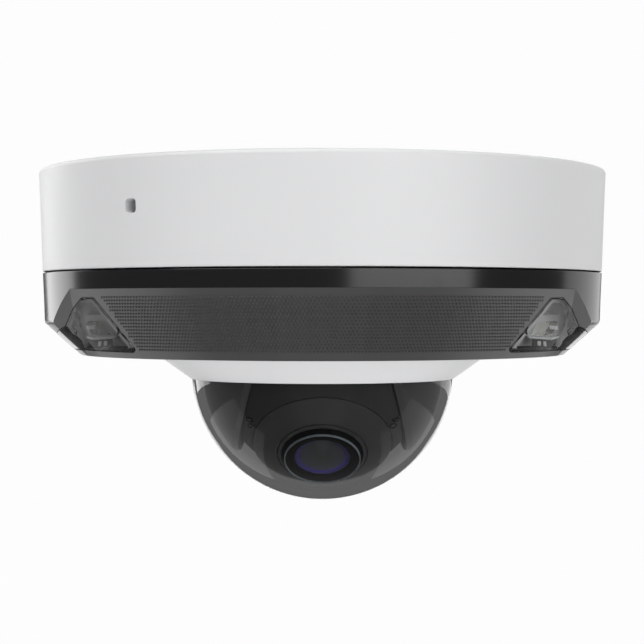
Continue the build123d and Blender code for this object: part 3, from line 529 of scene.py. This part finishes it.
# Painted light: a lighter copy of the eyeball plastic, with more specular, standing in for the different light on
# the bezel's face.
def bezel_plastic():
    return finish("bezel_plastic", moulded, (0.046, 0.046, 0.047), (0.46, 0.54), grain_scale=7000.0,
                  grain_depth=0.002 * MM, edge=0.25 * MM, spread=0.05, reflects=0.3)


# Painted light: the ears' lighter base colour stands in for light from the rear softboxes; their higher gloss is
# not painted.
def ear_plastic():
    return finish("ear_plastic", moulded, (0.050, 0.050, 0.051), (0.34, 0.40), grain_scale=7000.0,
                  grain_depth=0.0015 * MM, edge=0.2 * MM, spread=0.05, reflects=0.6)


def matte_black():
    return finish("matte_black", moulded, (0.0025, 0.0025, 0.0026), (0.6, 0.7), grain_scale=9000.0,
                  grain_depth=0.002 * MM, edge=0.05 * MM, reflects=0.1)


# Painted highlight: the rim's pale blue-grey colour stands in for the thin highlight along the black lens rim; its
# lower roughness is real.
def rim_metal():
    return finish("rim_metal", machined, (0.17, 0.20, 0.22), (0.25, 0.35), line_scale=5000.0,
                  line_depth=0.0006 * MM, edge=0.04 * MM, metallic=0.0)


def pale_board():
    return finish("pale_board", moulded, (0.84, 0.85, 0.85), (0.4, 0.5), grain_scale=5000.0,
                  grain_depth=0.001 * MM, edge=0.05 * MM)


def contact_metal():
    return finish("contact_metal", machined, (0.86, 0.85, 0.82), (0.15, 0.25), line_scale=6000.0,
                  line_depth=0.0005 * MM, edge=0.05 * MM, metallic=0.0)


def dome_plastic():
    return finish("dome_plastic", clear, (0.955, 0.96, 0.962), (0.0, 0.004), 1.49, mirror=0.3)


def window_plastic():
    return finish("window_plastic", clear, (0.93, 0.935, 0.94), (0.02, 0.05), 1.18)


def lens_black():
    return finish("lens_black", moulded, (0.012, 0.012, 0.013), (0.28, 0.36), grain_depth=0.001 * MM,
                  edge=0.08 * MM, metallic=0.0)


def lens_glass():
    """Front element, nearly free of reflections."""
    return finish("lens_glass", clear, (0.93, 0.94, 0.95), (0.0, 0.01), 1.25)


def element_painted_glints(seat):
    """Dark element with painted reflections: violet glint rings at its edge, painted brighter towards the bottom,
    and a grey-green middle.
    """
    material, tree, shader = start_material("element_painted_glints")
    link = tree.links.new
    place = tree.nodes.new("ShaderNodeTexCoord")
    local = tree.nodes.new("ShaderNodeMapping")
    local.vector_type = "TEXTURE"
    local.inputs["Location"].default_value = LENS_FRAME.translation
    local.inputs["Rotation"].default_value = LENS_FRAME.to_euler()
    split = tree.nodes.new("ShaderNodeSeparateXYZ")
    flat = tree.nodes.new("ShaderNodeCombineXYZ")
    radius = tree.nodes.new("ShaderNodeVectorMath")
    radius.operation = "LENGTH"
    link(place.outputs["Object"], local.inputs["Vector"])
    link(local.outputs["Vector"], split.inputs["Vector"])
    link(split.outputs["X"], flat.inputs["X"])
    link(split.outputs["Y"], flat.inputs["Y"])
    link(flat.outputs["Vector"], radius.inputs[0])
    share = tree.nodes.new("ShaderNodeMapRange")
    share.inputs["From Max"].default_value = seat
    link(radius.outputs["Value"], share.inputs["Value"])
    # painted reflection: thin violet rings near the edge stand in for coating glints
    glint_rings = tree.nodes.new("ShaderNodeValToRGB")
    glint_rings.color_ramp.interpolation = "B_SPLINE"
    stops = ((0.0, 0.0), (0.86, 0.0), (0.895, 0.3), (0.925, 0.0), (0.955, 0.0), (0.98, 1.0), (1.0, 0.0))
    for position, level in stops:
        stop = glint_rings.color_ramp.elements.new(position)
        stop.color = (level, level, level, 1)
    link(share.outputs["Result"], glint_rings.inputs["Fac"])
    # painted reflection: the rings fade from the bottom of the element to its top
    glint_fall = tree.nodes.new("ShaderNodeMapRange")
    glint_fall.inputs["From Min"].default_value = seat
    glint_fall.inputs["From Max"].default_value = -seat
    glint_fall.inputs["To Min"].default_value = 0.0
    link(split.outputs["Y"], glint_fall.inputs["Value"])
    mask = tree.nodes.new("ShaderNodeMath")
    mask.operation = "MULTIPLY"
    link(glint_rings.outputs["Color"], mask.inputs[0])
    link(glint_fall.outputs["Result"], mask.inputs[1])
    colour = tree.nodes.new("ShaderNodeMix")
    colour.data_type = "RGBA"
    colour.inputs["A"].default_value = (0.034, 0.037, 0.036, 1)
    colour.inputs["B"].default_value = (0.13, 0.06, 0.85, 1)
    link(mask.outputs["Value"], colour.inputs["Factor"])
    link(colour.outputs["Result"], shader.inputs["Base Color"])
    shader.inputs["Roughness"].default_value = 0.12
    shader.inputs["Specular IOR Level"].default_value = 0.3
    return material


def mark_ink():
    return finish("mark_ink", moulded, (0.001, 0.001, 0.001), (0.8, 0.9), grain_depth=0.001 * MM,
                  edge=0.01 * MM, reflects=0.0)


def rubber_black():
    return finish("rubber_black", moulded, (0.014, 0.014, 0.014), (0.6, 0.75), grain_depth=0.006 * MM)


def galvanised_steel():
    return finish("galvanised_steel", machined, (0.56, 0.57, 0.58), (0.25, 0.45), line_scale=250.0)


def cast_metal():
    return finish("cast_metal", moulded, (0.42, 0.43, 0.44), (0.42, 0.6), grain_scale=1800.0,
                  grain_depth=0.02 * MM, spread=0.08, metallic=1.0)


def screw_steel():
    return finish("screw_steel", machined, (0.5, 0.5, 0.5), (0.2, 0.35), line_scale=2500.0, edge=0.08 * MM)


def shield_metal():
    return finish("shield_metal", machined, (0.6, 0.6, 0.58), (0.18, 0.35), line_scale=1200.0)


def chip_plastic():
    return finish("chip_plastic", moulded, (0.016, 0.016, 0.017), (0.45, 0.6), grain_scale=5000.0,
                  grain_depth=0.006 * MM, edge=0.12 * MM)


def tray_plastic():
    return finish("tray_plastic", moulded, (0.78, 0.78, 0.785), (0.3, 0.4), grain_depth=0.003 * MM)


def lamp_resin():
    return finish("lamp_resin", clear, (0.9, 0.88, 0.8), (0.02, 0.08), 1.5)


def button_plastic():
    return finish("button_plastic", moulded, (0.5, 0.06, 0.02), (0.35, 0.45))


def circuit_board():
    """Solder mask over copper tracks, drawn by a cell pattern."""
    if "circuit_board" in FINISHES:
        return FINISHES["circuit_board"]
    material, tree, shader = start_material("circuit_board")
    place = tree.nodes.new("ShaderNodeTexCoord")
    tracks = tree.nodes.new("ShaderNodeTexBrick")
    tracks.inputs["Scale"].default_value = 260.0
    tracks.inputs["Mortar Size"].default_value = 0.03
    tracks.inputs["Mortar Smooth"].default_value = 0.2
    mask = settings().finish.board
    tracks.inputs["Color1"].default_value = (*mask, 1)
    tracks.inputs["Color2"].default_value = (*[c * 1.25 for c in mask], 1)
    tracks.inputs["Mortar"].default_value = (*[c * 1.9 for c in mask], 1)
    bump = tree.nodes.new("ShaderNodeBump")
    bump.inputs["Distance"].default_value = 0.03 * MM
    link = tree.links.new
    link(place.outputs["Object"], tracks.inputs["Vector"])
    link(tracks.outputs["Color"], shader.inputs["Base Color"])
    link(tracks.outputs["Fac"], bump.inputs["Height"])
    link(bump.outputs["Normal"], shader.inputs["Normal"])
    shader.inputs["Roughness"].default_value = 0.32
    FINISHES["circuit_board"] = material
    return material


SLOT_FINISHES = {
    "white_plastic": white_plastic,
    "dark_cover": dark_plastic,
    "clear_dome": dome_plastic,
    "lamp_window": window_plastic,
    "gimbal_plastic": gimbal_plastic,
    "lens_metal": lens_black,
    "lens_glass": lens_glass,
    "rubber": rubber_black,
    "plate_steel": galvanised_steel,
    "cast_metal": cast_metal,
    "screw_steel": screw_steel,
    "circuit_board": circuit_board,
    "chip_plastic": chip_plastic,
    "shield_metal": shield_metal,
    "tray_grey": tray_plastic,
    "lamp_resin": lamp_resin,
    "card_plastic": chip_plastic,
    "button_plastic": button_plastic,
}


# The bezel and the ears get lighter copies of the eyeball plastic, which is painted light.
NODE_FINISHES = {
    "lens_bezel": bezel_plastic,
    "ir_board_left": pale_board,
    "ir_board_right": pale_board,
    "left_ear": ear_plastic,
    "right_ear": ear_plastic,
}


# ------------------------------------------------------------------ operators
class DOMECAM_OT_stage(bpy.types.Operator):
    """Add the studio: a white surround, a pale floor, the soft lights and the camera"""

    bl_idname = "domecam.stage"
    bl_label = "Stage"

    def execute(self, context):
        self.add_world()
        self.add_floor()
        for light in SOFTBOXES:
            self.add_softbox(*light)
        self.add_camera()
        return {"FINISHED"}

    def add_world(self):
        """White to the eye, dark grey through clear parts and in everything that reflects it."""
        world = bpy.data.worlds.new("studio")
        world.use_nodes = True
        tree = world.node_tree
        tree.nodes.clear()
        output = tree.nodes.new("ShaderNodeOutputWorld")
        path = tree.nodes.new("ShaderNodeLightPath")
        backgrounds = []
        for grey in (ROOM_GREY, THROUGH_GREY, SEEN_WHITE):
            background = tree.nodes.new("ShaderNodeBackground")
            background.inputs["Color"].default_value = (grey, grey, grey, 1)
            backgrounds.append(background)
        room, through, seen = backgrounds
        inner = tree.nodes.new("ShaderNodeMixShader")
        outer = tree.nodes.new("ShaderNodeMixShader")
        link = tree.links.new
        link(path.outputs["Is Transmission Ray"], inner.inputs["Fac"])
        link(room.outputs["Background"], inner.inputs[1])
        link(through.outputs["Background"], inner.inputs[2])
        link(path.outputs["Is Camera Ray"], outer.inputs["Fac"])
        link(inner.outputs["Shader"], outer.inputs[1])
        link(seen.outputs["Background"], outer.inputs[2])
        link(outer.outputs["Shader"], output.inputs["Surface"])
        bpy.context.scene.world = world
        bpy.context.scene.view_settings.view_transform = "Standard"

    def add_floor(self):
        """A wide pale floor that only the camera sees: it lights nothing and shows in no reflection."""
        deselect()
        bpy.ops.mesh.primitive_circle_add(
            vertices=96, radius=FLOOR_RADIUS, fill_type="NGON", location=(0, 0, FLOOR_HEIGHT))
        floor = apply_place(named("floor"))
        material = bpy.data.materials.new("floor_pale")
        material.use_nodes = True
        shader = material.node_tree.nodes["Principled BSDF"]
        shader.inputs["Base Color"].default_value = (0, 0, 0, 1)
        shader.inputs["Specular IOR Level"].default_value = 0.0
        shader.inputs["Emission Color"].default_value = (SEEN_WHITE, SEEN_WHITE, SEEN_WHITE, 1)
        shader.inputs["Emission Strength"].default_value = 1.0
        floor.data.materials.append(material)
        floor.visible_diffuse = False
        floor.visible_glossy = False
        floor.visible_transmission = False
        floor.visible_shadow = False

    def add_softbox(self, name, azimuth, elevation, distance, size, brightness, reflected, seen_through):
        """A rectangular light aimed at the object; azimuth is 0 in front and positive to the right."""
        data = bpy.data.lights.new(name, "AREA")
        data.shape = "RECTANGLE"
        data.size, data.size_y = size
        data.energy = math.pi * size[0] * size[1] * brightness
        lamp = bpy.data.objects.new(name, data)
        bpy.context.scene.collection.objects.link(lamp)
        turn, rise = math.radians(azimuth), math.radians(elevation)
        away = Vector((math.sin(turn) * math.cos(rise), -math.cos(turn) * math.cos(rise), math.sin(rise)))
        lamp.location = LIGHT_AIM + away * distance
        lamp.rotation_euler = (-away).to_track_quat("-Z", "Y").to_euler()
        lamp.visible_camera = False
        lamp.visible_glossy = reflected
        lamp.visible_transmission = seen_through

    def add_camera(self):
        data = bpy.data.cameras.new("view")
        data.sensor_width = SENSOR_WIDTH_MM
        data.lens = FOCAL_LENGTH_MM
        data.clip_start = 0.01
        eye = bpy.data.objects.new("view", data)
        bpy.context.scene.collection.objects.link(eye)
        eye.location = EYE_PLACE
        eye.rotation_euler = (math.radians(90.0 - EYE_DROP_DEG), 0, math.radians(EYE_TURN_DEG))
        bpy.context.scene.camera = eye


ROOM_GREY = 0.12
THROUGH_GREY = 0.12
SEEN_WHITE = 0.982
FLOOR_HEIGHT = -0.8
FLOOR_RADIUS = 3.0
SENSOR_WIDTH_MM = 36.0
FOCAL_LENGTH_MM = 92.7
EYE_PLACE = (0, -0.32664, -0.0264)
EYE_DROP_DEG = 0.503
EYE_TURN_DEG = 0.0104
LIGHT_AIM = Vector((0, 0, -0.03))
SOFTBOXES = (
    # name, azimuth, elevation, distance, (width, height), brightness,
    # seen in reflections, seen through clear parts
    ("left_rear_softbox", -132, 12, 1.0, (0.62, 0.74), 2.35, True, False),
    ("right_rear_softbox", 134, 12, 1.0, (0.90, 0.74), 0.88, True, False),
    ("front_right_softbox", 35, 6, 1.0, (0.93, 0.42), 2.6, True, False),
    ("top_front_softbox", -28, 58, 1.0, (1.3, 0.9), 3.0, True, False),
    ("rear_floor_card", 180, -12, 1.0, (0.85, 0.26), 1.1, True, False),
    ("backdrop_card", 180, 10, 1.0, (0.4, 0.4), 0.9, True, False),
    ("floor_card", 0, -68, 0.6, (1.5, 0.8), 1.6, False, False),
    ("left_floor_card", -113, -38, 0.8, (0.8, 0.5), 0.6, True, False),
    ("right_floor_card", 113, -38, 0.8, (0.8, 0.5), 0.55, True, False),
)


class DOMECAM_OT_finishes(bpy.types.Operator):
    """Give every CAD node the finish of its slot"""

    bl_idname = "domecam.finishes"
    bl_label = "Finishes"

    def execute(self, context):
        slots = {part["node"]: part["material_slot"] for part in frame["record"]["subparts"]}
        for name, obj in frame["nodes"].items():
            own = NODE_FINISHES.get(name) or SLOT_FINISHES[slots[name]]
            obj.material_slots[0].material = own()
        return {"FINISHED"}


class DOMECAM_OT_front_dots(bpy.types.Operator):
    """Cover the angled front face with staggered rows of small flat-topped dots"""

    bl_idname = "domecam.front_dots"
    bl_label = "Front dots"

    def execute(self, context):
        face = settings().face
        top = COVER_HIGH.z - face.top_drop
        foot = COVER_LOW.z
        slope = (COVER_HIGH.x - face.foot_radius) / (top - foot)
        lean = math.atan(slope)
        dot = self.model_dot(face)
        rows = int((top - foot - 2 * face.margin) / (face.pitch * math.cos(lean)))
        copies = []
        for row in range(rows + 1):
            share = row / rows
            z = top - face.margin - share * (top - foot - 2 * face.margin)
            radius = COVER_HIGH.x + slope * (z - top)
            middle = (COVER_HIGH.x + face.foot_radius) / 2
            reach = face.top_angle + (face.foot_angle - face.top_angle) * share
            step = face.pitch / middle
            shift = row % 2 / 2
            columns = int(reach / step)
            for column in range(-columns, columns + 1):
                copies.append(self.place_dot(dot, radius, z, (column + shift) * step, lean))
        bpy.data.objects.remove(dot)
        piece = join(copies, "front_dots")
        finish_piece(piece, "cover", dot_plastic(), "dark_cover")
        return {"FINISHED"}

    def model_dot(self, face):
        """One flat-topped dot at the origin, pointing along +Z, its corners up, down and to the sides."""
        deselect()
        bpy.ops.mesh.primitive_cone_add(
            vertices=4, radius1=face.dot_size / 2, radius2=face.dot_size * 0.22,
            depth=face.dot_height, location=(0, 0, face.dot_height / 2))
        return apply_place(named("dot"))

    def place_dot(self, dot, radius, z, turn, lean):
        """A copy of the dot on the cone, turned about Z from the front and leaning with the face."""
        copy = bpy.data.objects.new("dot_copy", dot.data.copy())
        bpy.context.scene.collection.objects.link(copy)
        spot = Matrix.Rotation(turn, 4, "Z") @ Matrix.Translation((0, -radius, z))
        face_out = Matrix.Rotation(math.radians(90) - lean, 4, "X")
        copy.data.transform(spot @ face_out @ Matrix.Translation((0, 0, -0.02 * MM)))
        return copy


class DOMECAM_OT_lens(bpy.types.Operator):
    """Turn the lens ring, its front glass and the element behind it, which carries painted violet reflections"""

    bl_idname = "domecam.lens"
    bl_label = "Lens"

    def execute(self, context):
        lens = settings().lens
        front, back, outer = LENS_FRONT, LENS_BACK, LENS_RADIUS
        glass, edge = lens.glass_radius, LENS_FRONT - lens.glass_sink
        face = front - lens.rim_step
        inner = outer - lens.rim_wall
        side = outer - 0.05 * MM
        thread = outer - 1.0 * MM
        neck = front - 3.0 * MM
        bore = thread - 1.4 * MM
        waist = outer - 0.4 * MM
        ledge = face - 0.15 * MM
        outline = [(bore, back), (thread, back), (thread, neck - 4.0 * MM)]
        outline += [(waist, neck - 3.4 * MM), (waist, neck), (side, neck + 0.3 * MM)]
        outline += [(side, ledge), (inner, ledge), (inner, face)]
        outline += [(glass + 0.75 * MM, face), (glass + 0.55 * MM, face - 0.12 * MM)]
        outline += [(glass + 0.1 * MM, face - 0.18 * MM), (glass, edge - 0.05 * MM), (glass, edge - 2.2 * MM)]
        outline += [(bore, edge - 2.9 * MM)]
        ring = smooth(lathe("lens_ring", outline, 160, frame_matrix=LENS_FRAME), 30)
        finish_piece(ring, "lens_module", matte_black(), "lens_metal", "lens_barrel")
        foot = face - 0.1 * MM
        outer_round, inner_round = 0.16 * MM, 0.1 * MM
        outline = [(inner, foot), (outer, foot)]
        outline += arc(outer - outer_round, front - outer_round, outer_round, 0, 90, 4)
        outline += arc(inner + inner_round, front - inner_round, inner_round, 90, 180, 3)
        rim = smooth(lathe("lens_rim", outline, 160, frame_matrix=LENS_FRAME), 30)
        finish_piece(rim, "lens_module", rim_metal(), "lens_metal")
        self.add_front_glass(glass - 0.02 * MM, edge)
        self.add_glint_painted_element(glass - 0.05 * MM, edge - 0.5 * MM)
        return {"FINISHED"}

    def add_front_glass(self, radius, edge):
        """A thin convex glass with a ground edge and a hollow back."""
        crown, wall = 0.45 * MM, 0.6 * MM
        curve = (radius ** 2 + crown ** 2) / (2 * crown)
        half = math.degrees(math.asin(radius / curve))
        top = arc(0, edge + crown - curve, curve, 89.9, 90 - half, 14)
        under = arc(0, edge + crown - wall - curve, curve, 90 - half * 0.96, 89.9, 14)
        glass = smooth(lathe("lens_glass", top + under, 128, False, LENS_FRAME), 30)
        finish_piece(glass, "lens_module", lens_glass(), "lens_glass", "lens_front_glass")

    def add_glint_painted_element(self, radius, edge):
        """The next element, domed, with painted violet reflection rings, seated on a black step."""
        crown, seat = 0.3 * MM, radius * 0.9
        curve = (seat ** 2 + crown ** 2) / (2 * crown)
        half = math.degrees(math.asin(seat / curve))
        outline = [(0.05 * MM, edge - 0.9 * MM), (radius, edge - 0.9 * MM)]
        outline += [(radius, edge + 0.35 * MM), (radius * 0.95, edge + 0.3 * MM)]
        outline += [(seat + 0.04 * MM, edge + 0.06 * MM)]
        outline += arc(0, edge + crown - curve, curve, 90 - half, 89.9, 14)
        element = smooth(lathe("lens_element", outline, 128, False, LENS_FRAME), 30)
        finish_piece(element, "lens_module", element_painted_glints(seat), "lens_glass")


class DOMECAM_OT_angle_marks(bpy.types.Operator):
    """Print the two angle marks on the eyeball, one at each side of the lens"""

    bl_idname = "domecam.angle_marks"
    bl_label = "Angle marks"

    def execute(self, context):
        lens = settings().lens
        marks = []
        for side in (-1, 1):
            out = Vector((side * lens.mark_side, 0, -lens.mark_drop))
            out.y = -math.sqrt(BALL_RADIUS ** 2 - out.length_squared)
            ball = frame["nodes"]["ball_front_shell"]
            met, spot, normal, _ = ball.ray_cast(EYE_CENTRE + out * 1.2, -out.normalized())
            if not met:
                raise RuntimeError("the angle mark's place misses the ball")
            marks.append(self.print_mark(spot, normal, side, lens.mark_size))
        piece = join(marks, "angle_marks")
        finish_piece(piece, "eyeball", mark_ink(), "gimbal_plastic")
        return {"FINISHED"}

    def print_mark(self, spot, normal, side, size):
        """The number 90, reading up on the left and down on the right, laid on the ball."""
        deselect()
        bpy.ops.object.text_add(location=(0, 0, 0))
        text = bpy.context.active_object
        text.data.body = "90"
        text.data.size = size
        text.data.extrude = 0.012 * MM
        text.data.align_x = "CENTER"
        text.data.align_y = "CENTER"
        bpy.ops.object.convert(target="MESH")
        mark = named("angle_mark")
        mark.data.materials.clear()
        up = (Vector((0, 0, 1)) - normal * normal.z).normalized() * -side
        across = normal.cross(up)
        frame_of_mark = Matrix((up, across, normal)).transposed().to_4x4()
        mark.data.transform(Matrix.Translation(spot + normal * 0.01 * MM) @ frame_of_mark)
        return mark


class DOMECAM_OT_windows(bpy.types.Operator):
    """Round the edges of the two clear windows and fit out the lamp pocket behind each"""

    bl_idname = "domecam.windows"
    bl_label = "Windows"

    def execute(self, context):
        strips = []
        ledges = []
        pads = []
        for side, word in ((-1, "left"), (1, "right")):
            pane = copy_of("ir_window_" + word, "window_pane_" + word)
            pane = bevelled(pane, settings().window.rounding, 3, 35)
            finish_piece(smooth(pane, 30), "cover", window_plastic(), "lamp_window", "ir_window_" + word)
            for group, shapes in ((strips, POCKET_STRIPS), (ledges, POCKET_LEDGES), (pads, POCKET_CONTACTS)):
                group.extend(block(label + word, side, *shape) for label, *shape in shapes)
        finish_piece(join(strips, "pocket_strips"), "cover", chip_plastic(), "tray_grey")
        finish_piece(join(ledges, "pocket_ledges"), "cover", pale_board(), "tray_grey")
        finish_piece(join(pads, "pocket_contacts"), "cover", contact_metal(), "tray_grey")
        return {"FINISHED"}


# Blocks in a lamp pocket, in millimetres: name, centre on the right-hand side, size, rounding.
POCKET_STRIPS = (("strip_", (40.4, -22.0, -32.55), (4.6, 0.8, 1.3), 0.12),)
POCKET_LEDGES = (
    ("ledge_", (40.3, -21.6, -31.6), (5.6, 1.6, 0.5), 0.15),
    ("lamp_window_", (42.2, -19.9, -29.7), (1.4, 0.5, 0.75), 0.12),
)
POCKET_CONTACTS = (
    ("pad_", (40.1, -22.5, -32.55), (0.45, 0.3, 0.8), 0.06),
    ("pad_", (39.2, -22.5, -32.55), (0.55, 0.3, 0.8), 0.06),
)


def block(name, side, centre, size, rounding):
    """A small moulded block with rounded edges, in millimetres; side is -1 on the left, 1 on the right."""
    deselect()
    x, y, z = centre
    bpy.ops.mesh.primitive_cube_add(size=1, location=[value * MM for value in (side * x, y, z)])
    obj = named(name)
    obj.scale = [value * MM for value in size]
    apply_place(obj)
    return smooth(bevelled(obj, rounding * MM, 3), 40)


PIECES = (
    DOMECAM_OT_stage,
    DOMECAM_OT_finishes,
    DOMECAM_OT_front_dots,
    DOMECAM_OT_lens,
    DOMECAM_OT_angle_marks,
    DOMECAM_OT_windows,
)


class DOMECAM_PT_panel(bpy.types.Panel):
    """Lists the pieces of the dome camera"""

    bl_label = "Dome camera"
    bl_idname = "DOMECAM_PT_panel"
    bl_space_type = "VIEW_3D"
    bl_region_type = "UI"
    bl_category = "Dome camera"

    def draw(self, context):
        for piece in PIECES:
            self.layout.operator(piece.bl_idname)


SETTINGS_CLASSES = (FaceSettings, LensSettings, WindowSettings, FinishSettings, CameraSettings)
CLASSES = SETTINGS_CLASSES + PIECES + (DOMECAM_PT_panel,)


def register():
    for cls in CLASSES:
        bpy.utils.register_class(cls)
    bpy.types.Scene.dome_camera = PointerProperty(type=CameraSettings)


def unregister():
    del bpy.types.Scene.dome_camera
    for cls in reversed(CLASSES):
        bpy.utils.unregister_class(cls)


def main():
    register()
    bpy.ops.domecam.stage()
    bpy.ops.domecam.finishes()
    bpy.ops.domecam.front_dots()
    bpy.ops.domecam.lens()
    bpy.ops.domecam.angle_marks()
    bpy.ops.domecam.windows()


if __name__ == "__main__":
    main()
